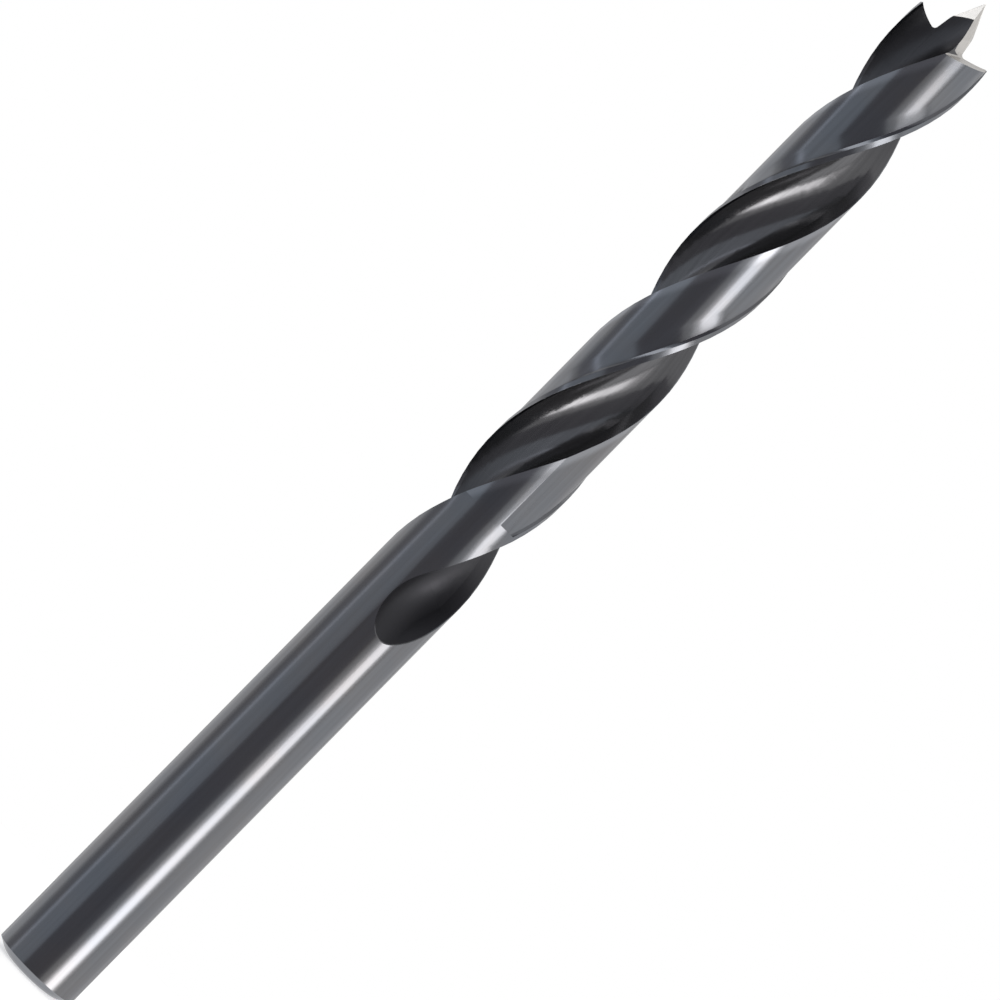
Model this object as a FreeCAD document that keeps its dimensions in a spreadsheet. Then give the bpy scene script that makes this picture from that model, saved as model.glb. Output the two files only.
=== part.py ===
import FreeCAD, Part

import math
import os

import Sketcher
from FreeCAD import Vector

# A brad point drill bit for wood, ground from one steel rod. It stands on the end of
# its shank: the origin is the middle of that end and +Z runs along the axis to the point.
# Lengths are in millimetres and angles in degrees. Turns are measured about +Z from +X.

SIZES = {
    # The rod: the shank, a slight cone, and the fluted length that cuts the hole
    "cutting_dia": 10.0,
    "shank_dia": 9.9,
    "overall_length": 137.0,
    "shank_length": 63.0,
    "cone_length": 2.0,
    # The edge of the shank end: a bevel with its inner corner rounded
    "end_bevel_height": 0.9,
    "end_bevel_width": 1.4,
    "end_round_radius": 2.4,
    # The flutes: a round trough with a straight rake side and a flared heel side
    "flute_lead": 57.9,
    "web_thickness": 2.2,
    "trough_radius": 3.1,
    "heel_side_width": 2.65,
    "heel_flare_angle": 30.0,
    "flute_turn": 42.3,
    # Where the grinding wheel leaves the rod, below the cutting length, at each flute's end
    "run_out_drop": 8.5,
    "wheel_tilt": 28.0,
    "wheel_radius": 13.0,
    # The clearance ground behind each margin, and the flat where its grinding starts
    "clearance_rise": 0.4,
    "clearance_depth": 0.23,
    "margin_turn": 7.2,
    "margin_fillet": 0.9,
    "margin_foot_sink": 0.06,
    "start_flat_turn": 13.3,
    "start_flat_sink": 0.03,
    "start_flat_sweep": 80.0,
    "start_flat_length": 13.0,
    # The point: corner spurs, hollow lips with relief, and the centre point
    "corner_turn": 21.8,
    "corner_depth": 4.6,
    "grind_turn": 37.8,
    "relief_angle": 16.0,
    "lip_rim_depth": 5.03,
    "lip_hollow_angle": 10.0,
    "lip_root_width": 1.73,
    "lip_root_radius": 0.45,
    "centre_wall_angle": 13.0,
    "centre_tip_angle": 19.0,
    "facet_turn": 138.6,
    "facet_angle": 24.0,
    "facet_depth": 4.0,
}

# How far the cutting tools reach past the rod, how far they start before it, how far a
# margin is kept on its flute side, and the turns of the bit's two sides
REACH = 3.0
LEAD_IN = 1.0
MARGIN_REACH = 16.0
SIDES = (0, 180)

# Heights up the bit, as formulas of the sheet
CUTTING_START = "(Sizes.shank_length + Sizes.cone_length)"
RUN_OUT_HEIGHT = "(Sizes.shank_length + Sizes.cone_length - Sizes.run_out_drop)"
CLEARANCE_START = "(Sizes.shank_length + Sizes.cone_length + Sizes.clearance_rise)"

# A cut that takes away less than this, in cubic millimetres, has missed the metal
LEAST_CUT = 0.1


def add_sheet(doc):
    """Every driving size has one cell, and its alias is its name."""
    sheet = doc.addObject("Spreadsheet::Sheet", "Sizes")
    for row, (name, value) in enumerate(SIZES.items(), start=1):
        sheet.set("A%d" % row, name)
        sheet.set("B%d" % row, str(value))
        sheet.setAlias("B%d" % row, name)
    doc.recompute()
    return sheet


def add_body(doc, name):
    body = doc.addObject("PartDesign::Body", name)
    body.Label = name
    return body


def origin_part(body, role):
    return next(part for part in body.Origin.OriginFeatures if part.Role == role)


def add_sketch(body, name, plane, offset=None):
    """A sketch on one of the body's origin planes, moved off it by a placement formula."""
    sketch = body.newObject("Sketcher::SketchObject", name)
    sketch.AttachmentSupport = [(origin_part(body, plane), "")]
    sketch.MapMode = "FlatFace"
    if offset:
        sketch.setExpression("AttachmentOffset", offset)
    return sketch


def offset_formula(height_axis, height, turn, tilt="0"):
    """A placement raised along one axis, turned about that axis and tilted about X."""
    place = {"y": "vector(0; %s; 0)", "z": "vector(0; 0; %s)"}[height_axis] % height
    axis = {"y": "vector(0; 1; 0)", "z": "vector(0; 0; 1)"}[height_axis]
    turned = "rotation(%s; %s)" % (axis, turn)
    tilted = "rotation(vector(1; 0; 0); %s)" % tilt
    return "placement(%s; %s * %s)" % (place, turned, tilted)


def bind(sketch, formula, *constraint):
    """A dimension of a sketch, tied to the sheet by a formula."""
    index = sketch.addConstraint(Sketcher.Constraint(*constraint))
    sketch.setExpression("Constraints[%d]" % index, formula)


def tie(sketch, *constraint):
    sketch.addConstraint(Sketcher.Constraint(*constraint))


def line(sketch, start, end):
    return sketch.addGeometry(Part.LineSegment(Vector(*start, 0), Vector(*end, 0)), False)


def arc(sketch, start, middle, end):
    points = [Vector(*point, 0) for point in (start, middle, end)]
    return sketch.addGeometry(Part.Arc(*points), False)


def end_near(sketch, edge, point):
    """Which end of an edge lies at a point: 1 for its start and 2 for its finish."""
    target = Vector(*point, 0)
    return min((1, 2), key=lambda end: (sketch.getPoint(edge, end) - target).Length)


def tangent(degrees):
    return math.tan(math.radians(degrees))


def add_round(body, name, diameter, foot, length):
    """A round length of the rod, standing on the height named by foot."""
    sketch = add_sketch(body, name + "_section", "XY_Plane", offset_formula("z", foot, "0"))
    rim = sketch.addGeometry(
        Part.Circle(Vector(0, 0, 0), Vector(0, 0, 1), SIZES[diameter] / 2), False)
    tie(sketch, "Coincident", rim, 3, -1, 1)
    bind(sketch, "Sizes." + diameter, "Diameter", rim, SIZES[diameter])
    round_length = body.newObject("PartDesign::Pad", name)
    round_length.Profile = sketch
    round_length.setExpression("Length", length)
    return round_length


def turn_rod(doc, body):
    """The round blank: the shank, a slight cone, then the cutting diameter up to the point."""
    add_round(body, "shank", "shank_dia", "0", "Sizes.shank_length")
    doc.recompute()
    cone = body.newObject("PartDesign::AdditiveCone", "shank_cone")
    cone.AttachmentSupport = [(origin_part(body, "XY_Plane"), "")]
    cone.MapMode = "FlatFace"
    cone.setExpression("AttachmentOffset", offset_formula("z", "Sizes.shank_length", "0"))
    cone.setExpression("Radius1", "Sizes.shank_dia / 2")
    cone.setExpression("Radius2", "Sizes.cutting_dia / 2")
    cone.setExpression("Height", "Sizes.cone_length")
    doc.recompute()
    rise = "Sizes.overall_length - " + CUTTING_START
    cutting_length = add_round(body, "cutting_length", "cutting_dia", CUTTING_START, rise)
    doc.recompute()
    return cutting_length


def edge_at(shape, height, radius):
    """The name of the circular edge at this height and radius."""
    for index, edge in enumerate(shape.Edges, start=1):
        middle = edge.CenterOfMass
        reach = edge.Vertexes[0].Point
        level = abs(middle.z - height) < 1e-6 and abs(reach.z - height) < 1e-6
        if level and abs(math.hypot(reach.x, reach.y) - radius) < 1e-6:
            return "Edge%d" % index
    raise RuntimeError("no edge at height %g and radius %g" % (height, radius))


def bevel_shank(doc, body, rod):
    """The bevel round the shank end, and the rounding between it and the flat."""
    shank = SIZES["shank_dia"] / 2
    bevel = body.newObject("PartDesign::Chamfer", "end_bevel")
    bevel.Base = (rod, [edge_at(rod.Shape, 0, shank)])
    bevel.ChamferType = "Two distances"
    bevel.setExpression("Size", "Sizes.end_bevel_width")
    bevel.setExpression("Size2", "Sizes.end_bevel_height")
    doc.recompute()
    flat = min(edge.Vertexes[0].Point.Length for edge in bevel.Shape.Edges
               if edge.BoundBox.ZMax < 1e-6)
    if abs(flat - (shank - SIZES["end_bevel_width"])) > 1e-6:
        bevel.FlipDirection = True
        doc.recompute()
    rounding = body.newObject("PartDesign::Fillet", "end_round")
    inner = shank - SIZES["end_bevel_width"]
    rounding.Base = (bevel, [edge_at(bevel.Shape, 0, inner)])
    rounding.setExpression("Radius", "Sizes.end_round_radius")
    doc.recompute()
    return rounding


def flute_section(body, side):
    """The trough across the wheel's path: X runs outwards from the axis, Y to the heel."""
    size = SIZES
    radius = size["trough_radius"]
    centre = size["web_thickness"] / 2 + radius
    heel = size["heel_side_width"]
    heel_reach = centre - math.sqrt(radius ** 2 - heel ** 2)
    outside = size["cutting_dia"] / 2 + REACH
    flare = tangent(size["heel_flare_angle"])
    flared = heel + (outside - heel_reach) * flare
    turned = "Sizes.flute_turn + Sizes.corner_turn + %d - 360 * %s / Sizes.flute_lead"
    rise = "(Sizes.overall_length - Sizes.corner_depth - %s)" % RUN_OUT_HEIGHT
    place = offset_formula("z", RUN_OUT_HEIGHT, turned % (side, rise), "-Sizes.wheel_tilt")
    sketch = add_sketch(body, "flute_section_%d" % side, "XY_Plane", place)
    trough = arc(sketch, (centre, -radius), (size["web_thickness"] / 2, 0), (heel_reach, heel))
    rake = line(sketch, (centre, -radius), (outside, -radius))
    rim = line(sketch, (outside, -radius), (outside, flared))
    heel_side = line(sketch, (outside, flared), (heel_reach, heel))
    return sketch, trough, rake, rim, heel_side, (radius, centre, heel, outside)


def size_flute_section(parts):
    """The dimensions of the trough, tied to the sheet."""
    sketch, trough, rake, rim, heel_side, (radius, centre, heel, outside) = parts
    ends = {sketch.getPoint(trough, end).y: end for end in (1, 2)}
    rake_end = ends[min(ends)]
    heel_end = ends[max(ends)]
    tie(sketch, "Coincident", trough, rake_end, rake, 1)
    tie(sketch, "Coincident", trough, heel_end, heel_side, 2)
    tie(sketch, "Coincident", rake, 2, rim, 1)
    tie(sketch, "Coincident", rim, 2, heel_side, 1)
    tie(sketch, "Horizontal", rake)
    tie(sketch, "Vertical", rim)
    tie(sketch, "PointOnObject", trough, 3, -1)
    tie(sketch, "Vertical", trough, 3, trough, rake_end)
    reach = "Sizes.web_thickness / 2 + Sizes.trough_radius"
    bind(sketch, "Sizes.trough_radius", "Radius", trough, radius)
    bind(sketch, reach, "DistanceX", -1, 1, trough, 3, centre)
    bind(sketch, "Sizes.heel_side_width", "DistanceY", -1, 1, trough, heel_end, heel)
    bind(sketch, "Sizes.cutting_dia / 2 + %g" % REACH, "DistanceX", -1, 1, rake, 2, outside)
    flare = math.radians(180 + SIZES["heel_flare_angle"])
    bind(sketch, "180 + Sizes.heel_flare_angle", "Angle", heel_side, flare)
    wheel = outside + SIZES["wheel_radius"]
    axis = sketch.addGeometry(
        Part.LineSegment(Vector(wheel, -1, 0), Vector(wheel, 1, 0)), True)
    tie(sketch, "Symmetric", axis, 1, axis, 2, -1)
    bind(sketch, "1", "DistanceY", -1, 1, axis, 2, 1)
    hub = SIZES["web_thickness"] / 2 + SIZES["wheel_radius"]
    reach = "Sizes.web_thickness / 2 + Sizes.wheel_radius"
    bind(sketch, reach, "DistanceX", -1, 1, axis, 1, hub)


def cut_flute(body, sketch):
    """The screw-shaped trough."""
    flute = body.newObject("PartDesign::SubtractiveHelix", "flute")
    flute.Profile = sketch
    flute.ReferenceAxis = (origin_part(body, "Z_Axis"), [""])
    flute.HasBeenEdited = True
    flute.Refine = False
    flute.Mode = "pitch-height-angle"
    flute.setExpression("Pitch", "Sizes.flute_lead")
    rise = "Sizes.overall_length - %s + %g" % (RUN_OUT_HEIGHT, REACH)
    flute.setExpression("Height", rise)
    return flute


def cut_run_out(body, sketch):
    """The round scoop where the wheel leaves the rod."""
    scoop = body.newObject("PartDesign::Groove", "flute_run_out")
    scoop.Profile = sketch
    scoop.ReferenceAxis = (sketch, ["Axis0"])
    scoop.Angle = 90
    scoop.Reversed = True
    return scoop


def point_corners(size):
    """The corners of the wheel's form at the point, from its rim inwards to the tip."""
    rim = size["cutting_dia"] / 2
    outside = rim + REACH
    root = size["lip_root_width"]
    hollow = tangent(size["lip_hollow_angle"])
    slope = tangent(size["centre_wall_angle"])
    tip_slope = tangent(size["centre_tip_angle"])
    rim_y = -size["lip_rim_depth"]
    root_y = rim_y - (rim - root) * hollow
    tip_y = -(root + root_y * slope) / (tip_slope - slope)
    lean = math.radians(90 + size["centre_wall_angle"] - size["lip_hollow_angle"]) / 2
    back = size["lip_root_radius"] / math.tan(lean)
    lip = Vector(1, hollow, 0).normalize()
    wall = Vector(-slope, 1, 0).normalize()
    middle = (lip + wall).normalize()
    root_point = Vector(root, root_y, 0)
    deep = size["lip_root_radius"] * (1 / math.sin(lean) - 1)
    points = {
        "lip_end": root_point + lip * back,
        "root_middle": root_point + middle * deep,
        "wall_start": root_point + wall * back,
    }
    corners = {name: (point.x, point.y) for name, point in points.items()}
    corners["root"] = (root, root_y)
    corners["rim"] = (rim, rim_y)
    corners["side"] = (outside, rim_y + REACH * hollow)
    corners["shoulder"] = (-tip_y * tip_slope, tip_y)
    return corners


def point_section(body):
    """The grinding wheel's form at the point: X runs out from the axis, Y up from the tip."""
    place = offset_formula(
        "y", "Sizes.overall_length", "Sizes.corner_turn - Sizes.grind_turn",
        "Sizes.relief_angle")
    sketch = add_sketch(body, "point_section", "XZ_Plane", place)
    spot = point_corners(SIZES)
    outside = spot["side"][0]
    side = line(sketch, (outside, REACH), spot["side"])
    lip = line(sketch, spot["side"], spot["lip_end"])
    root = arc(sketch, spot["lip_end"], spot["root_middle"], spot["wall_start"])
    wall = line(sketch, spot["wall_start"], spot["shoulder"])
    tip = line(sketch, spot["shoulder"], (0, 0))
    above = line(sketch, (0, 0), (0, REACH))
    top = line(sketch, (0, REACH), (outside, REACH))
    root_point = sketch.addGeometry(Part.Point(Vector(*spot["root"], 0)), True)
    rim_point = sketch.addGeometry(Part.Point(Vector(*spot["rim"], 0)), True)
    size_point_section(sketch, spot, (side, lip, root, wall, tip, above, top))
    for point, edges in ((root_point, (lip, wall)), (rim_point, (lip,))):
        for edge in edges:
            tie(sketch, "PointOnObject", point, 1, edge)
    rim_x, rim_y = spot["rim"]
    bind(sketch, "Sizes.lip_root_width", "DistanceX", -1, 1, root_point, 1, spot["root"][0])
    bind(sketch, "Sizes.cutting_dia / 2", "DistanceX", -1, 1, rim_point, 1, rim_x)
    bind(sketch, "Sizes.lip_rim_depth", "DistanceY", rim_point, 1, -1, 1, -rim_y)
    return sketch


def size_point_section(sketch, spot, edges):
    """The joins and angles of the wheel's form, tied to the sheet."""
    side, lip, root, wall, tip, above, top = edges
    start = end_near(sketch, root, spot["lip_end"])
    tie(sketch, "Coincident", side, 2, lip, 1)
    tie(sketch, "Tangent", lip, 2, root, start)
    tie(sketch, "Tangent", root, 3 - start, wall, 1)
    for first, second in ((wall, tip), (tip, above), (above, top), (top, side)):
        tie(sketch, "Coincident", first, 2, second, 1)
    tie(sketch, "Coincident", tip, 2, -1, 1)
    for upright in (side, above):
        tie(sketch, "Vertical", upright)
    tie(sketch, "Horizontal", top)
    bind(sketch, "Sizes.lip_root_radius", "Radius", root, SIZES["lip_root_radius"])
    for edge, name, square in ((lip, "lip_hollow_angle", 180), (wall, "centre_wall_angle", 90),
                               (tip, "centre_tip_angle", 90)):
        turn = math.radians(square + SIZES[name])
        bind(sketch, "%d + Sizes.%s" % (square, name), "Angle", edge, turn)
    outside = spot["side"][0]
    bind(sketch, "Sizes.cutting_dia / 2 + %g" % REACH, "DistanceX", -1, 1, side, 1, outside)
    bind(sketch, "%g" % REACH, "DistanceY", -1, 1, side, 1, REACH)


def facet_section(body):
    """What is ground off in front of the centre point: X runs out across the facet."""
    outside = SIZES["cutting_dia"] / 2 + REACH
    depth = SIZES["facet_depth"]
    slope = tangent(SIZES["facet_angle"])
    turn = "Sizes.corner_turn - Sizes.facet_turn"
    place = offset_formula("y", "Sizes.overall_length", turn)
    sketch = add_sketch(body, "facet_section", "XZ_Plane", place)
    corners = [(0, 0), (depth * slope, -depth), (outside, -depth), (outside, REACH), (0, REACH)]
    edges = [line(sketch, *pair) for pair in zip(corners, corners[1:] + corners[:1])]
    for first, second in zip(edges, edges[1:] + edges[:1]):
        tie(sketch, "Coincident", first, 2, second, 1)
    facet, floor, side, top, above = edges
    tie(sketch, "Coincident", facet, 1, -1, 1)
    for level in (floor, top):
        tie(sketch, "Horizontal", level)
    for upright in (side, above):
        tie(sketch, "Vertical", upright)
    facet_turn = math.radians(-90 + SIZES["facet_angle"])
    bind(sketch, "-90 + Sizes.facet_angle", "Angle", facet, facet_turn)
    bind(sketch, "Sizes.facet_depth", "DistanceY", floor, 1, -1, 1, depth)
    bind(sketch, "Sizes.cutting_dia / 2 + %g" % REACH, "DistanceX", -1, 1, floor, 2, outside)
    bind(sketch, "%g" % REACH, "DistanceY", -1, 1, side, 2, REACH)
    return sketch


def grind_point(body, name, sketch):
    """One side of the point, ground straight across by a wheel of the sketch's form."""
    grind = body.newObject("PartDesign::Pocket", name)
    grind.Profile = sketch
    grind.SideType = "Symmetric"
    grind.setExpression("Length", "2 * Sizes.cutting_dia")
    return grind


def repeat_half_turn(body, name, features):
    """The same cuts again on the other side of the axis."""
    pattern = body.newObject("PartDesign::PolarPattern", name)
    pattern.Originals = features
    pattern.Axis = (origin_part(body, "Z_Axis"), [""])
    pattern.Angle = 360
    pattern.Occurrences = 2
    body.Tip = pattern
    return pattern


def make_rod(doc):
    """The round rod, bevelled at the end of its shank and ground to its point."""
    body = add_body(doc, "rod")
    bevel_shank(doc, body, turn_rod(doc, body))
    for name, section in (("land_end", point_section), ("centre_facet", facet_section)):
        grind = grind_point(body, name, section(body))
        doc.recompute()
        repeat_half_turn(body, name + "s", [grind])
        doc.recompute()
    return body


def cut_flutes(doc, body):
    """Both flutes, each with the run-out at its shank end."""
    sections = []
    for side in SIDES:
        parts = flute_section(body, side)
        size_flute_section(parts)
        sections.append(parts[0])
    doc.recompute()
    for cut in (cut_flute, cut_run_out):
        for section in sections:
            cut(body, section)
            doc.recompute()


def margin_points(size):
    """The corners of what a wheel leaves standing as a margin, from its flute side round."""
    rim = size["cutting_dia"] / 2
    inside = rim - REACH
    outside = rim + 2 * REACH
    fillet = size["margin_fillet"]
    hub = rim - size["clearance_depth"] + fillet - size["margin_foot_sink"]
    lean = math.acos((hub ** 2 + rim ** 2 - fillet ** 2) / (2 * hub * rim))
    front = math.radians(MARGIN_REACH)
    across = (math.cos(lean), -math.sin(lean))
    crest = (hub * across[0], hub * across[1] + fillet)
    return {
        "front_foot": (inside * math.cos(front), inside * math.sin(front)),
        "front_rim": (outside, outside * tangent(MARGIN_REACH)),
        "back_rim": (outside, crest[1]),
        "crest": crest,
        "edge": (rim, 0),
        "hollow": ((hub - fillet) * across[0], (hub - fillet) * across[1]),
        "back_foot": (inside * across[0], inside * across[1]),
    }


def margin_section(body, side):
    """A margin across the bit: X points at its inner edge and +Y at the flute before it."""
    rise = "(Sizes.overall_length - Sizes.corner_depth - %s + %g)" % (CLEARANCE_START, LEAD_IN)
    turned = "Sizes.corner_turn + %d - Sizes.margin_turn - 360 * %s / Sizes.flute_lead"
    place = offset_formula("z", "%s - %g" % (CLEARANCE_START, LEAD_IN), turned % (side, rise))
    sketch = add_sketch(body, "margin_section_%d" % side, "XY_Plane", place)
    spot = margin_points(SIZES)
    front = line(sketch, spot["front_foot"], spot["front_rim"])
    rim = line(sketch, spot["front_rim"], spot["back_rim"])
    back = line(sketch, spot["back_rim"], spot["crest"])
    hollow = arc(sketch, spot["crest"], spot["edge"], spot["hollow"])
    foot = line(sketch, spot["hollow"], spot["back_foot"])
    inner = line(sketch, spot["back_foot"], spot["front_foot"])
    edge = sketch.addGeometry(Part.Point(Vector(*spot["edge"], 0)), True)
    size_margin_section(sketch, spot, (front, rim, back, hollow, foot, inner, edge))
    return sketch


def size_margin_section(sketch, spot, parts):
    """The dimensions of a margin, tied to the sheet."""
    front, rim, back, hollow, foot, inner, edge = parts
    crest = end_near(sketch, hollow, spot["crest"])
    tie(sketch, "Coincident", front, 2, rim, 1)
    tie(sketch, "Coincident", rim, 2, back, 1)
    tie(sketch, "Tangent", back, 2, hollow, crest)
    tie(sketch, "Coincident", hollow, 3 - crest, foot, 1)
    tie(sketch, "Coincident", foot, 2, inner, 1)
    tie(sketch, "Coincident", inner, 2, front, 1)
    tie(sketch, "PointOnObject", -1, 1, front)
    tie(sketch, "PointOnObject", -1, 1, foot)
    tie(sketch, "PointOnObject", hollow, 3, foot)
    tie(sketch, "Vertical", rim)
    tie(sketch, "Horizontal", back)
    tie(sketch, "PointOnObject", edge, 1, -1)
    tie(sketch, "PointOnObject", edge, 1, hollow)
    radius = SIZES["cutting_dia"] / 2
    reach = radius + 2 * REACH
    hub = (radius - SIZES["clearance_depth"] + SIZES["margin_fillet"]
           - SIZES["margin_foot_sink"])
    bind(sketch, "Sizes.cutting_dia / 2", "DistanceX", -1, 1, edge, 1, radius)
    bind(sketch, "Sizes.cutting_dia / 2 + %g" % (2 * REACH), "DistanceX", -1, 1, rim, 1, reach)
    bind(sketch, "Sizes.margin_fillet", "Radius", hollow, SIZES["margin_fillet"])
    depth = "Sizes.cutting_dia / 2 - Sizes.clearance_depth"
    bind(sketch, depth + " + Sizes.margin_fillet - Sizes.margin_foot_sink", "Distance",
         -1, 1, hollow, 3, hub)
    inside = "Sizes.cutting_dia / 2 - %g" % REACH
    bind(sketch, inside, "Distance", -1, 1, front, 1, radius - REACH)
    bind(sketch, inside, "Distance", -1, 1, foot, 2, radius - REACH)
    bind(sketch, "%g" % MARGIN_REACH, "Angle", front, math.radians(MARGIN_REACH))


def start_flat_section(body, side):
    """What the wheel leaves standing before the bit turns: a sector under a flat."""
    flat_reach = SIZES["cutting_dia"] / 2 - SIZES["clearance_depth"] - SIZES["start_flat_sink"]
    side_reach = SIZES["cutting_dia"] / 2 + 2 * REACH
    back_x = side_reach / tangent(SIZES["start_flat_sweep"])
    rise = "(Sizes.overall_length - Sizes.corner_depth - %s)" % CLEARANCE_START
    turned = "Sizes.corner_turn + %d - Sizes.start_flat_turn - 360 * %s / Sizes.flute_lead"
    place = offset_formula("z", "%s - %g" % (CLEARANCE_START, LEAD_IN), turned % (side, rise))
    sketch = add_sketch(body, "start_flat_section_%d" % side, "XY_Plane", place)
    corners = [(0, 0), (flat_reach, 0), (flat_reach, -side_reach), (back_x, -side_reach)]
    edges = [line(sketch, *pair) for pair in zip(corners, corners[1:] + corners[:1])]
    for first, second in zip(edges, edges[1:] + edges[:1]):
        tie(sketch, "Coincident", first, 2, second, 1)
    inner, flat, far, back = edges
    tie(sketch, "Coincident", inner, 1, -1, 1)
    tie(sketch, "Horizontal", inner)
    tie(sketch, "Horizontal", far)
    tie(sketch, "Vertical", flat)
    reach = "Sizes.cutting_dia / 2 - Sizes.clearance_depth - Sizes.start_flat_sink"
    bind(sketch, reach, "DistanceX", inner, 1, inner, 2, flat_reach)
    reach = "Sizes.cutting_dia / 2 + %g" % (2 * REACH)
    bind(sketch, reach, "DistanceY", flat, 2, flat, 1, side_reach)
    turn = math.radians(180 - SIZES["start_flat_sweep"])
    bind(sketch, "180 - Sizes.start_flat_sweep", "Angle", back, turn)
    return sketch


def clearance_ring(body):
    """All that lies outside the clearance diameter, from where its grinding starts."""
    sketch = add_sketch(body, "ring_section", "XY_Plane",
                        offset_formula("z", CLEARANCE_START, "0"))
    inner_radius = SIZES["cutting_dia"] / 2 - SIZES["clearance_depth"]
    outer_radius = SIZES["cutting_dia"] / 2 + REACH
    formulas = ("Sizes.cutting_dia / 2 - Sizes.clearance_depth",
                "Sizes.cutting_dia / 2 + %g" % REACH)
    for radius, formula in zip((inner_radius, outer_radius), formulas):
        rim = sketch.addGeometry(Part.Circle(Vector(0, 0, 0), Vector(0, 0, 1), radius), False)
        tie(sketch, "Coincident", rim, 3, -1, 1)
        bind(sketch, formula, "Radius", rim, radius)
    ring = body.newObject("PartDesign::Pad", "clearance_ring")
    ring.Profile = sketch
    rise = "Sizes.overall_length - %s + %g" % (CLEARANCE_START, REACH)
    ring.setExpression("Length", rise)
    return ring


def leave_margin(body, side):
    """The screw-shaped strip that the clearance grinding leaves as a margin."""
    strip = body.newObject("PartDesign::SubtractiveHelix", "margin_%d" % side)
    strip.Profile = margin_section(body, side)
    strip.ReferenceAxis = (origin_part(body, "Z_Axis"), [""])
    strip.HasBeenEdited = True
    strip.Refine = False
    strip.Mode = "pitch-height-angle"
    strip.setExpression("Pitch", "Sizes.flute_lead")
    rise = "Sizes.overall_length - %s + %g" % (CLEARANCE_START, 2 * REACH)
    strip.setExpression("Height", rise)
    return strip


def leave_start_flat(body, side):
    """The block that the clearance grinding leaves where it starts."""
    block = body.newObject("PartDesign::Pocket", "start_flat_%d" % side)
    block.Profile = start_flat_section(body, side)
    block.Reversed = True
    block.Refine = False
    block.setExpression("Length", "Sizes.start_flat_length + %g" % LEAD_IN)
    return block


def make_clearance_tool(doc):
    """All that the wheel grinds away behind both margins."""
    body = add_body(doc, "clearance_tool")
    clearance_ring(body)
    doc.recompute()
    for leave in (leave_margin, leave_start_flat):
        for side in SIDES:
            leave(body, side)
            doc.recompute()
    return body


def grind_away(doc, name, base, tool):
    """The base with all that the tool covers ground off."""
    cut = doc.addObject("Part::Cut", name)
    cut.Base = base
    cut.Tool = tool
    cut.Refine = False
    doc.recompute()
    return cut


def make_drill_bit(doc):
    """The finished bit: the pointed rod with its clearance and then its flutes ground."""
    rod = make_rod(doc)
    ground = grind_away(doc, "cleared_rod", rod, make_clearance_tool(doc))
    body = add_body(doc, "drill_bit")
    body.BaseFeature = ground
    doc.recompute()
    cut_flutes(doc, body)
    return body


def check(doc, part):
    """Stops if a feature failed, took nothing away, or the bit isn't one sound solid."""
    for thing in doc.Objects:
        if "Invalid" in thing.State or "Error" in thing.State:
            raise RuntimeError("%s failed: %s" % (thing.Label, thing.State))
    shape = part.Shape
    if shape.isNull() or not shape.isValid() or len(shape.Solids) != 1:
        raise RuntimeError("%s isn't one sound solid" % part.Label)
    for label in ("rod", "clearance_tool", "drill_bit"):
        check_cuts([thing for thing in doc.getObject(label).Group
                    if thing.isDerivedFrom("PartDesign::Feature")])
    check_cuts([doc.getObject("rod"), doc.getObject("cleared_rod")])


def check_cuts(steps):
    """Stops if a step that cuts took nothing away."""
    volumes = [step.Shape.Volume for step in steps]
    for step, before, after in zip(steps[1:], volumes, volumes[1:]):
        adds = step.TypeId in ("PartDesign::Pad", "PartDesign::AdditiveCone")
        if not adds and after > before - LEAST_CUT:
            raise RuntimeError("%s took nothing away" % step.Label)


doc = FreeCAD.newDocument("brad_point_bit")
add_sheet(doc)
bit = make_drill_bit(doc)
check(doc, bit)
os.makedirs("parts", exist_ok=True)
bit.Shape.exportStep("parts/%s.step" % bit.Label)
print("%s: %.1f cubic millimetres" % (bit.Label, bit.Shape.Volume))
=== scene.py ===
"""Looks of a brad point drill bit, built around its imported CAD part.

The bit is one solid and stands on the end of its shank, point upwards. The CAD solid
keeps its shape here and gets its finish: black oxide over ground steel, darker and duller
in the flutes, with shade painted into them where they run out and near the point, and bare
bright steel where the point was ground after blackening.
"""
import math

import bpy
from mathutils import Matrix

MM = 0.001

# Shape of the bit, as the source gives it
BEVEL_HEIGHT = 0.9 * MM
SHANK_LENGTH = 63.0 * MM
SHANK_RADIUS = 4.95 * MM
CLEARED_RADIUS = 4.77 * MM
FLUTE_LEAD = 57.9 * MM
LANDS = 2
CLEARANCE_START = 65.4 * MM
FLAT_END = 78.4 * MM
CORNER_HEIGHT = 132.4 * MM
CORNER_TURN = 21.8

# Turns behind the cutting edge, in degrees: the margin's fillet, its foot, the blend and the heel
FILLET_TURN = 7.2
FOOT_TURN = 10.8
BLEND_TURN = 29.0
HEEL_TURN = 90.0

# How high the cleared land rises in the blend
BLEND_RISE = 0.14 * MM

# The polish of the outside, by how deep a spot lies below the rim
POLISH_FULL = 0.06 * MM
POLISH_END = 0.16 * MM

# The stretch where the flutes run out, and the point, where shade is painted into the flutes
RUN_OUT_START = 45.0 * MM
RUN_OUT_MIDDLE = 58.0 * MM
RUN_OUT_END = 74.0 * MM
POINT_START = 117.0 * MM
POINT_MIDDLE = 126.0 * MM
POINT_STRENGTH = 0.8

# Lighter oxide at the heel of each land, between two turns behind its cutting edge
HEEL_LIGHTER_FROM = HEEL_TURN - 15.0
HEEL_LIGHTER_FULLY = HEEL_TURN - 4.0
HEEL_STRENGTH = 0.45

# Painted shade in the fillet behind each margin, from the end of the first flat upwards
MARGIN_START = FLAT_END - 1.0 * MM
MARGIN_FULL = FLAT_END + 2.0 * MM
FILLET_DARK_FROM = FILLET_TURN - 1.0
FILLET_DARK_FULLY = FILLET_TURN + 0.5
FILLET_LIGHT_FROM = FOOT_TURN + 0.5
FILLET_LIGHT_FULLY = FOOT_TURN + 4.0
FILLET_STRENGTH = 0.15

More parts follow.
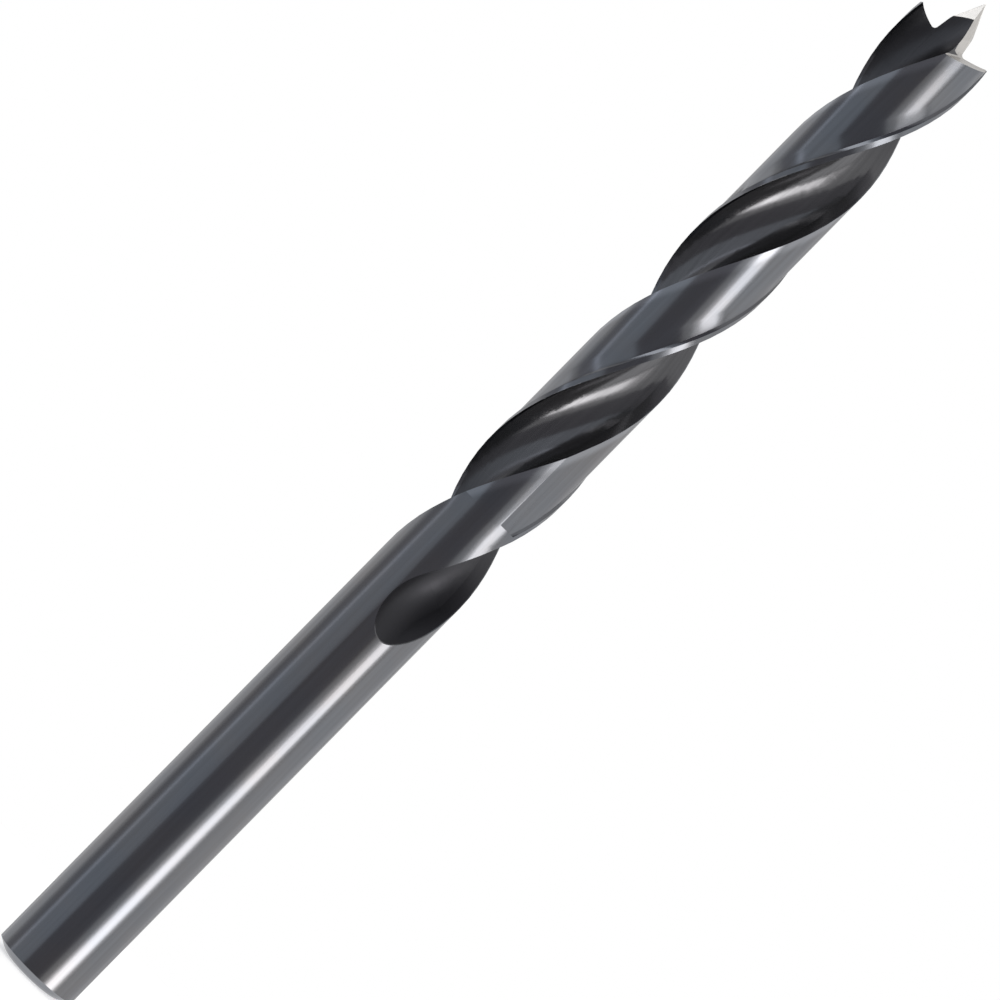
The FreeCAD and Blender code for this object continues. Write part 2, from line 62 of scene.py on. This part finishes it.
# The bare point: where it starts, and the least upward slant of its relief and of its centre
GROUND_FROM = 129.9 * MM
RELIEF_RISE = 0.8
CENTRE_RISE = 0.28

# The centre point's walls: where they start, how far out they reach, and which way they face
WALLS_FROM = 131.2 * MM
WALLS_REACH = 2.4 * MM
WALL_TURN = -16.0
WALL_CLOSENESS = 0.955

# The finish's patterns: their sizes, how much slower they change along the marks, their fine
# detail, and the noise levels between which each goes from none to full
PATCH_SIZE = 9.0 * MM
PATCH_DETAIL = 4.0
PATCH_NONE = 0.35
PATCH_FULL = 0.65
STREAK_SPACING = 0.5 * MM
STREAK_NONE = 0.35
STREAK_FULL = 0.75
STREAK_STRENGTH = 0.3
MARK_SPACING = 0.35 * MM
MARK_NONE = 0.3
MARK_FULL = 0.7
ALONG_MARKS = 0.02
MARK_DETAIL = 3.0

# Colours of the oxide, of the light and shade painted into it, and of the bare steel
BLUE_OXIDE = "#585a5e"
BROWN_OXIDE = "#5d5c5d"
STREAK_OXIDE = "#6c6f74"
# Lighter at the heel of each land, and a painted reflection on the bevel at the shank's end
LIGHTER_OXIDE = "#85878c"
# Painted shade for the fillet behind each margin
FILLET_PAINTED_SHADE = "#232325"
FLUTE_DARK_OXIDE = "#4f4f51"
FLUTE_LIGHT_OXIDE = "#59595b"
# Painted shade where the flutes run out and near the point
FLUTE_PAINTED_SHADE = "#303033"
BARE_DARK_STEEL = "#b5b2ae"
BARE_LIGHT_STEEL = "#c4c1bd"
GRAZING_TINT = "#e0e0e1"

# Shine of the finishes
POLISHED_ROUGHNESS = 0.19
DEEP_ROUGHNESS = 0.42
BARE_ROUGHNESS = 0.4
FLUTE_METALLIC = 0.82

# Socket numbers of a Mix node: its share, its two values, its two colours and the mixed colour
MIX_SHARE = 0
VALUE_A = 2
VALUE_B = 3
COLOUR_A = 6
COLOUR_B = 7
MIXED_COLOUR = 2

# Camera
CAMERA_DISTANCE = 533.0 * MM
CAMERA_HEIGHT = 67.15 * MM
CAMERA_SIDE = 0.17 * MM
CAMERA_ROLL = -44.55
CAMERA_LENS = 190.8
SENSOR_WIDTH = 36.0

# Studio: what stands around the bit is centred on its middle, or on a height of its own
MIDDLE = 68.0 * MM
LAMP_DISTANCE = 600.0 * MM
STRIP_HEIGHT = 500.0 * MM
KEY_MIDDLE = -48.0 * MM
KEY_LOW_MIDDLE = -287.0 * MM
HIGH_LAMP_SIZE = 360.0 * MM
HIGH_LAMP_MIDDLE = 600.0 * MM
HIGH_LAMP_TILT = 41.5
CLOTH_DISTANCE = 750.0 * MM
CLOTH_HEIGHT = 2400.0 * MM
FLOOR_RADIUS = 80.0 * MM
FLOOR_SIDES = 96

# Light and background
WHITE = "#ffffff"
WARM_WHITE = "#fffcfa"
COOL_WHITE = "#eef2ff"
PAPER_WHITE = "#f4f4f4"
AMBIENT_LEVEL = 0.5
FLOOR_LIFT = 0.47


def linear(code):
    """Turn an sRGB hex colour into the linear values that Blender's sockets take."""
    channels = [int(code[place:place + 2], 16) / 255 for place in (1, 3, 5)]
    straight = [c / 12.92 if c <= 0.04045 else ((c + 0.055) / 1.055) ** 2.4 for c in channels]
    return (*straight, 1.0)


def add_node(tree, kind, inputs=None, **settings):
    """Add a node, give it its settings, and set or link each input by its name or number."""
    made = tree.nodes.new(kind)
    for name, value in settings.items():
        setattr(made, name, value)
    for socket, value in (inputs or {}).items():
        if isinstance(value, bpy.types.Node):
            value = value.outputs[0]
        if isinstance(value, bpy.types.NodeSocket):
            tree.links.new(value, made.inputs[socket])
        else:
            made.inputs[socket].default_value = value
    return made


def new_material(name):
    """Make an empty node material and return it with its node tree."""
    material = bpy.data.materials.new(name)
    material.use_nodes = True
    material.node_tree.nodes.clear()
    return material, material.node_tree


def place_camera():
    """Set the camera level with the bit's middle, rolled so that the bit runs to the upper right."""
    data = bpy.data.cameras.new("camera")
    data.lens = CAMERA_LENS
    data.sensor_width = SENSOR_WIDTH
    camera = bpy.data.objects.new("camera", data)
    camera.location = (CAMERA_SIDE, -CAMERA_DISTANCE, CAMERA_HEIGHT)
    camera.rotation_euler = (math.radians(90), math.radians(CAMERA_ROLL), 0)
    bpy.context.collection.objects.link(camera)
    bpy.context.scene.camera = camera


def stand_around(thing, turn, distance, middle=MIDDLE):
    """Stand a lamp or a cloth around the bit, at a turn from the camera, facing the bit."""
    angle = math.radians(turn)
    thing.location = (distance * math.sin(angle), -distance * math.cos(angle), middle)
    thing.rotation_euler = (math.radians(90), 0, angle)


def add_strip(name, turn, width, level, colour, height=STRIP_HEIGHT, middle=MIDDLE):
    """Stand a soft lamp around the bit, as bright as level times white."""
    data = bpy.data.lights.new(name, "AREA")
    data.shape = "RECTANGLE"
    data.size = width
    data.size_y = height
    data.energy = level * math.pi * width * height
    data.color = linear(colour)[:3]
    lamp = bpy.data.objects.new(name, data)
    bpy.context.collection.objects.link(lamp)
    stand_around(lamp, turn, LAMP_DISTANCE, middle)
    return lamp


def light_studio():
    """Put strip lamps left, right and behind the bit, as its long reflections show them.

    A second key lamp hangs low, for the end of the shank, where the stripe is whitest. It is
    turned a little from the first, because of two lamps in one plane a ray finds only one.
    """
    add_strip("lamp_key", turn=55, width=225 * MM, level=5.0, colour=WARM_WHITE, middle=KEY_MIDDLE)
    add_strip("lamp_key_low", turn=51, width=210 * MM, level=2.6, colour=WARM_WHITE,
              middle=KEY_LOW_MIDDLE)
    add_strip("lamp_key_edge", turn=54, width=400 * MM, level=1.3, colour=WARM_WHITE)
    add_strip("lamp_right", turn=112, width=810 * MM, level=0.6, colour=WHITE)
    add_strip("lamp_left_thin", turn=-78, width=60 * MM, level=1.0, colour=COOL_WHITE)
    add_strip("lamp_left_rear", turn=-131, width=450 * MM, level=0.6, colour=WHITE)
    high = add_strip("lamp_high_left", turn=-64, width=HIGH_LAMP_SIZE, level=2.5, colour=WHITE,
                     height=HIGH_LAMP_SIZE, middle=HIGH_LAMP_MIDDLE)
    high.rotation_euler.x = math.radians(90 - HIGH_LAMP_TILT)


def background_seen(tree):
    """Tell where the camera, polished steel or glass looks straight at a surface."""
    path = add_node(tree, "ShaderNodeLightPath")
    straight = add_node(tree, "ShaderNodeMath",
                        {0: path.outputs["Is Camera Ray"], 1: path.outputs["Is Glossy Ray"]},
                        operation="MAXIMUM")
    return add_node(tree, "ShaderNodeMath", {0: straight, 1: path.outputs["Is Transmission Ray"]},
                    operation="MAXIMUM")


def light_world():
    """Surround the scene with white where it is seen, and with plain light everywhere else."""
    world = bpy.data.worlds.new("studio")
    bpy.context.scene.world = world
    world.use_nodes = True
    tree = world.node_tree
    tree.nodes.clear()
    level = add_node(tree, "ShaderNodeMapRange",
                     {"Value": background_seen(tree), "To Min": AMBIENT_LEVEL})
    light = add_node(tree, "ShaderNodeBackground", {"Color": linear(WHITE), "Strength": level})
    add_node(tree, "ShaderNodeOutputWorld", {"Surface": light})


def floor_paper():
    """White background paper, matt, seen at full white and still showing the bit's shadow."""
    material, tree = new_material("white_background_paper")
    paper = add_node(tree, "ShaderNodeBsdfDiffuse", {"Color": linear(PAPER_WHITE)})
    lift = add_node(tree, "ShaderNodeMath", {0: background_seen(tree), 1: FLOOR_LIFT},
                    operation="MULTIPLY")
    glow = add_node(tree, "ShaderNodeEmission", {"Color": linear(WHITE), "Strength": lift})
    both = add_node(tree, "ShaderNodeAddShader", {0: paper, 1: glow})
    add_node(tree, "ShaderNodeOutputMaterial", {"Surface": both})
    return material


def flag_cloth(name, shade):
    """Studio cloth of a plain shade, which gives polished steel its dark bands."""
    material, tree = new_material(name)
    cloth = add_node(tree, "ShaderNodeEmission", {"Color": linear(shade), "Strength": 1.0})
    add_node(tree, "ShaderNodeOutputMaterial", {"Surface": cloth})
    return material


def lay_floor():
    """Lay the round sheet of white paper that the bit stands on.

    The lamps reach below the paper, so it lets their light and reflections through.
    """
    bpy.ops.mesh.primitive_circle_add(vertices=FLOOR_SIDES, radius=FLOOR_RADIUS, fill_type="NGON")
    floor = bpy.context.object
    floor.name = "floor"
    floor.visible_glossy = False
    floor.visible_shadow = False
    floor.data.materials.append(floor_paper())


def hang_flag(name, turn, width, shade):
    """Hang a cloth around the bit, out of every picture and out of the lamps' way."""
    bpy.ops.mesh.primitive_plane_add(size=1)
    flag = bpy.context.object
    flag.name = name
    flag.scale = (width, CLOTH_HEIGHT, 1)
    stand_around(flag, turn, CLOTH_DISTANCE)
    flag.visible_camera = False
    flag.visible_diffuse = False
    flag.visible_shadow = False
    flag.data.materials.append(flag_cloth(name + "_cloth", shade))


def hang_flags():
    """Hang the cloths behind the camera and to the left of it."""
    hang_flag("flag_front", turn=-5, width=780 * MM, shade="#a3a2a8")
    hang_flag("flag_left", turn=-58, width=740 * MM, shade="#e9f0f9")
    hang_flag("flag_far_left", turn=-93, width=240 * MM, shade="#cfcfd4")


def share(turn):
    """Turn degrees behind the cutting edge into a share of the way to the next land."""
    return turn * LANDS / 360


def behind_edge(tree, parts):
    """Tell how far a spot lies behind the cutting edge of its land, as a share of half a turn."""
    turn = add_node(tree, "ShaderNodeMath", {0: parts.outputs["Y"], 1: parts.outputs["X"]},
                    operation="ARCTAN2")
    climb = 2 * math.pi / FLUTE_LEAD
    start = math.radians(CORNER_TURN) - climb * CORNER_HEIGHT
    edge = add_node(tree, "ShaderNodeMath", {0: parts.outputs["Z"], 1: climb, 2: start},
                    operation="MULTIPLY_ADD")
    lag = add_node(tree, "ShaderNodeMath", {0: edge, 1: turn}, operation="SUBTRACT")
    lands = add_node(tree, "ShaderNodeMath", {0: lag, 1: LANDS / (2 * math.pi)}, operation="MULTIPLY")
    return add_node(tree, "ShaderNodeMath", {0: lands}, operation="FRACT")


def ground_relief(tree, height, rise):
    """Find the relief behind each lip, which lies nearly level at the top of the bit."""
    high = add_node(tree, "ShaderNodeMath", {0: height, 1: GROUND_FROM}, operation="GREATER_THAN")
    level = add_node(tree, "ShaderNodeMath", {0: rise, 1: RELIEF_RISE}, operation="GREATER_THAN")
    return add_node(tree, "ShaderNodeMath", {0: high, 1: level}, operation="MULTIPLY")


def ground_centre(tree, height, radius, normal, rise):
    """Find the centre point's slanted faces and its two walls."""
    inner = add_node(tree, "ShaderNodeMath", {0: radius, 1: WALLS_REACH}, operation="LESS_THAN")
    upper = add_node(tree, "ShaderNodeMath", {0: height, 1: WALLS_FROM}, operation="GREATER_THAN")
    core = add_node(tree, "ShaderNodeMath", {0: inner, 1: upper}, operation="MULTIPLY")
    slanted = add_node(tree, "ShaderNodeMath", {0: rise, 1: CENTRE_RISE}, operation="GREATER_THAN")
    wall_way = (math.cos(math.radians(WALL_TURN)), math.sin(math.radians(WALL_TURN)), 0)
    along = add_node(tree, "ShaderNodeVectorMath", {0: normal, 1: wall_way}, operation="DOT_PRODUCT")
    facing = add_node(tree, "ShaderNodeMath", {0: along.outputs["Value"]}, operation="ABSOLUTE")
    wall = add_node(tree, "ShaderNodeMath", {0: facing, 1: WALL_CLOSENESS}, operation="GREATER_THAN")
    either = add_node(tree, "ShaderNodeMath", {0: slanted, 1: wall}, operation="MAXIMUM")
    return add_node(tree, "ShaderNodeMath", {0: core, 1: either}, operation="MULTIPLY")


def ground_bare(tree, height, radius, normal):
    """Find the point's faces that were ground after blackening."""
    rise = add_node(tree, "ShaderNodeSeparateXYZ", {0: normal}).outputs["Z"]
    relief = ground_relief(tree, height, rise)
    centre = ground_centre(tree, height, radius, normal, rise)
    return add_node(tree, "ShaderNodeMath", {0: relief, 1: centre}, operation="MAXIMUM")


def polished_outside(tree, height, radius):
    """Find the polished outside, which is the shank, the margins and the lands, near the rim."""
    rim = add_node(tree, "ShaderNodeMapRange",
                   {"Value": height, "From Min": SHANK_LENGTH, "From Max": CLEARANCE_START,
                    "To Min": SHANK_RADIUS, "To Max": CLEARED_RADIUS})
    depth = add_node(tree, "ShaderNodeMath", {0: rim, 1: radius}, operation="SUBTRACT")
    proud = add_node(tree, "ShaderNodeMapRange",
                     {"Value": depth, "From Min": POLISH_END, "From Max": POLISH_FULL},
                     interpolation_type="SMOOTHSTEP")
    plain = add_node(tree, "ShaderNodeMath", {0: height, 1: RUN_OUT_START}, operation="LESS_THAN")
    return add_node(tree, "ShaderNodeMath", {0: proud, 1: plain}, operation="MAXIMUM")


def painted_shade_places(tree, height):
    """Find where the flutes run out and the point, where shade is painted into the flutes."""
    run_out = add_node(tree, "ShaderNodeMapRange",
                       {"Value": height, "From Min": RUN_OUT_END, "From Max": RUN_OUT_MIDDLE})
    point = add_node(tree, "ShaderNodeMapRange",
                     {"Value": height, "From Min": POINT_START, "From Max": POINT_MIDDLE,
                      "To Max": POINT_STRENGTH})
    return add_node(tree, "ShaderNodeMath", {0: run_out, 1: point}, operation="MAXIMUM")


def polish_streaks(tree, spot):
    """Long faint streaks down the polished outside, wider than real ones so that they show."""
    drawn = add_node(tree, "ShaderNodeVectorMath", {0: spot, 1: (1, 1, ALONG_MARKS)},
                     operation="MULTIPLY")
    return add_node(tree, "ShaderNodeTexNoise",
                    {"Vector": drawn, "Scale": 1 / STREAK_SPACING, "Detail": MARK_DETAIL})


def wheel_marks(tree, height, radius, behind):
    """Wheel marks that follow the flutes, wider than real ones so that they show."""
    turned = add_node(tree, "ShaderNodeMath", {0: behind, 1: math.pi * CLEARED_RADIUS},
                      operation="MULTIPLY")
    slow = add_node(tree, "ShaderNodeMath", {0: height, 1: ALONG_MARKS}, operation="MULTIPLY")
    drawn = add_node(tree, "ShaderNodeCombineXYZ", {"X": radius, "Y": turned, "Z": slow})
    noise = add_node(tree, "ShaderNodeTexNoise",
                     {"Vector": drawn, "Scale": 1 / MARK_SPACING, "Detail": MARK_DETAIL})
    return add_node(tree, "ShaderNodeMapRange",
                    {"Value": noise, "From Min": MARK_NONE, "From Max": MARK_FULL})


def drifting_oxide(tree, spot):
    """Oxide that drifts between blue-grey and brown-grey in patches, crossed by fine streaks."""
    mottle = add_node(tree, "ShaderNodeTexNoise",
                      {"Vector": spot, "Scale": 1 / PATCH_SIZE, "Detail": PATCH_DETAIL})
    patches = add_node(tree, "ShaderNodeMapRange",
                       {"Value": mottle, "From Min": PATCH_NONE, "From Max": PATCH_FULL})
    drift = add_node(tree, "ShaderNodeMix",
                     {MIX_SHARE: patches, COLOUR_A: linear(BLUE_OXIDE), COLOUR_B: linear(BROWN_OXIDE)},
                     data_type="RGBA").outputs[MIXED_COLOUR]
    faint = add_node(tree, "ShaderNodeMapRange",
                     {"Value": polish_streaks(tree, spot), "From Min": STREAK_NONE,
                      "From Max": STREAK_FULL, "To Max": STREAK_STRENGTH})
    return add_node(tree, "ShaderNodeMix",
                    {MIX_SHARE: faint, COLOUR_A: drift, COLOUR_B: linear(STREAK_OXIDE)},
                    data_type="RGBA").outputs[MIXED_COLOUR]


def lighten_heel_paint_bevel_light(tree, oxide, height, behind):
    """Lighten the oxide at the heel of each land, and paint a lighter reflection on the bevel at the
    shank's end.
    """
    heel_lighter = add_node(tree, "ShaderNodeMapRange",
                      {"Value": behind, "From Min": share(HEEL_LIGHTER_FROM),
                       "From Max": share(HEEL_LIGHTER_FULLY), "To Max": HEEL_STRENGTH},
                      interpolation_type="SMOOTHSTEP")
    fluted = add_node(tree, "ShaderNodeMath", {0: height, 1: CLEARANCE_START},
                      operation="GREATER_THAN")
    heel = add_node(tree, "ShaderNodeMath", {0: heel_lighter, 1: fluted}, operation="MULTIPLY")
    # The bevel at the shank's end faces down; its lighter colour is a painted reflection
    bevel = add_node(tree, "ShaderNodeMath", {0: height, 1: BEVEL_HEIGHT}, operation="LESS_THAN")
    lightened = add_node(tree, "ShaderNodeMath", {0: heel, 1: bevel}, operation="MAXIMUM")
    return add_node(tree, "ShaderNodeMix",
                    {MIX_SHARE: lightened, COLOUR_A: oxide, COLOUR_B: linear(LIGHTER_OXIDE)},
                    data_type="RGBA").outputs[MIXED_COLOUR]


def fillet_painted_shade(tree, oxide, behind, margined):
    """Paint shade into the oxide in the fillet behind each margin."""
    start = add_node(tree, "ShaderNodeMapRange",
                     {"Value": behind, "From Min": share(FILLET_DARK_FROM),
                      "From Max": share(FILLET_DARK_FULLY)})
    end = add_node(tree, "ShaderNodeMapRange",
                   {"Value": behind, "From Min": share(FILLET_LIGHT_FULLY),
                    "From Max": share(FILLET_LIGHT_FROM), "To Max": FILLET_STRENGTH})
    fillet = add_node(tree, "ShaderNodeMath", {0: start, 1: end}, operation="MULTIPLY")
    shaded = add_node(tree, "ShaderNodeMath", {0: fillet, 1: margined}, operation="MULTIPLY")
    return add_node(tree, "ShaderNodeMix",
                    {MIX_SHARE: shaded, COLOUR_A: oxide, COLOUR_B: linear(FILLET_PAINTED_SHADE)},
                    data_type="RGBA").outputs[MIXED_COLOUR]


def flute_oxide_and_shade(tree, marks, painted_shade):
    """Oxide of the flutes, with the wheel's marks, and painted shade where they run out and near the
    point.
    """
    flute = add_node(tree, "ShaderNodeMix",
                     {MIX_SHARE: marks, COLOUR_A: linear(FLUTE_DARK_OXIDE),
                      COLOUR_B: linear(FLUTE_LIGHT_OXIDE)},
                     data_type="RGBA").outputs[MIXED_COLOUR]
    return add_node(tree, "ShaderNodeMix",
                    {MIX_SHARE: painted_shade, COLOUR_A: flute, COLOUR_B: linear(FLUTE_PAINTED_SHADE)},
                    data_type="RGBA").outputs[MIXED_COLOUR]


def finish_colour(tree, marks, bare, outside, in_flutes, on_lands):
    """Lay the lands' and the flutes' oxide over the bit, and bare steel on the ground faces."""
    dark = add_node(tree, "ShaderNodeMix",
                    {MIX_SHARE: outside, COLOUR_A: in_flutes, COLOUR_B: on_lands},
                    data_type="RGBA").outputs[MIXED_COLOUR]
    steel = add_node(tree, "ShaderNodeMix",
                     {MIX_SHARE: marks, COLOUR_A: linear(BARE_DARK_STEEL),
                      COLOUR_B: linear(BARE_LIGHT_STEEL)},
                     data_type="RGBA").outputs[MIXED_COLOUR]
    return add_node(tree, "ShaderNodeMix", {MIX_SHARE: bare, COLOUR_A: dark, COLOUR_B: steel},
                    data_type="RGBA").outputs[MIXED_COLOUR]


def finish_roughness(tree, bare, outside, painted_shade):
    """Roughness of the polish, of the flutes, rougher where they run out and near the point, and of
    bare steel.
    """
    in_flutes = add_node(tree, "ShaderNodeMapRange",
                         {"Value": painted_shade, "To Min": POLISHED_ROUGHNESS, "To Max": DEEP_ROUGHNESS})
    oxide = add_node(tree, "ShaderNodeMix",
                     {MIX_SHARE: outside, VALUE_A: in_flutes, VALUE_B: POLISHED_ROUGHNESS},
                     data_type="FLOAT")
    return add_node(tree, "ShaderNodeMix",
                    {MIX_SHARE: bare, VALUE_A: oxide, VALUE_B: BARE_ROUGHNESS}, data_type="FLOAT")


def finish_metallic(tree, bare, outside):
    """Full metal, apart from the duller oxide in the flutes, which is partly matt."""
    shiny = add_node(tree, "ShaderNodeMath", {0: outside, 1: bare}, operation="MAXIMUM")
    return add_node(tree, "ShaderNodeMapRange",
                    {"Value": shiny, "To Min": FLUTE_METALLIC, "To Max": 1.0})


def margin_blend(tree, behind, margined):
    """Raise the cleared land behind each margin in a hollow blend."""
    blend = add_node(tree, "ShaderNodeMapRange",
                     {"Value": behind, "From Min": share(BLEND_TURN), "From Max": share(FOOT_TURN)})
    hollow = add_node(tree, "ShaderNodeMath", {0: blend, 1: 2.0}, operation="POWER")
    kept = add_node(tree, "ShaderNodeMath", {0: hollow, 1: margined}, operation="MULTIPLY")
    rise = add_node(tree, "ShaderNodeMath", {0: kept, 1: BLEND_RISE}, operation="MULTIPLY")
    return add_node(tree, "ShaderNodeBump", {"Strength": 1.0, "Distance": 1.0, "Height": rise})


def oxide_steel():
    """Black oxide on ground high speed steel, a deep grey shine over blue and brown patches.

    The wheel left the shank and lands polished and the flutes duller. The point was ground
    after blackening and shows bare pale steel.
    """
    material, tree = new_material("black_oxide_steel")
    place = add_node(tree, "ShaderNodeTexCoord")
    spot = place.outputs["Object"]
    parts = add_node(tree, "ShaderNodeSeparateXYZ", {0: spot})
    height = parts.outputs["Z"]
    across = add_node(tree, "ShaderNodeVectorMath", {0: spot, 1: (1, 1, 0)}, operation="MULTIPLY")
    radius = add_node(tree, "ShaderNodeVectorMath", {0: across}, operation="LENGTH").outputs["Value"]
    behind = behind_edge(tree, parts)

    # Where each finish lies
    bare = ground_bare(tree, height, radius, place.outputs["Normal"])
    outside = polished_outside(tree, height, radius)
    # Where shade is painted into the flutes: where they run out, and near the point
    painted_shade = painted_shade_places(tree, height)
    margined = add_node(tree, "ShaderNodeMapRange",
                        {"Value": height, "From Min": MARGIN_START, "From Max": MARGIN_FULL})

    # The finishes
    marks = wheel_marks(tree, height, radius, behind)
    on_lands = drifting_oxide(tree, spot)
    # Lighter at the heel; a painted reflection on the bevel at the shank's end
    on_lands = lighten_heel_paint_bevel_light(tree, on_lands, height, behind)
    # Painted shade in the fillet behind each margin
    on_lands = fillet_painted_shade(tree, on_lands, behind, margined)
    in_flutes = flute_oxide_and_shade(tree, marks, painted_shade)

    coated = add_node(tree, "ShaderNodeBsdfPrincipled",
                      {"Base Color": finish_colour(tree, marks, bare, outside, in_flutes, on_lands),
                       "Metallic": finish_metallic(tree, bare, outside),
                       "Roughness": finish_roughness(tree, bare, outside, painted_shade),
                       "Specular Tint": linear(GRAZING_TINT),
                       "Normal": margin_blend(tree, behind, margined)})
    add_node(tree, "ShaderNodeOutputMaterial", {"Surface": coated})
    return material


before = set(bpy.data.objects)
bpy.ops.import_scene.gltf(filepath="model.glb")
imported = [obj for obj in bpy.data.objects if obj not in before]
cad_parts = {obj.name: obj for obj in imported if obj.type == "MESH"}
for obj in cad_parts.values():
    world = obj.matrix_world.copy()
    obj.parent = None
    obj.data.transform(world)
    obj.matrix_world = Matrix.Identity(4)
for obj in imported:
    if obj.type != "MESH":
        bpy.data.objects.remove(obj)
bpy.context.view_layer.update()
bpy.ops.object.select_all(action="DESELECT")

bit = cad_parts["drill_bit"]
bit.data.materials.clear()
bit.data.materials.append(oxide_steel())

lay_floor()
hang_flags()
light_studio()
light_world()
place_camera()
bpy.context.scene.view_settings.view_transform = "Standard"
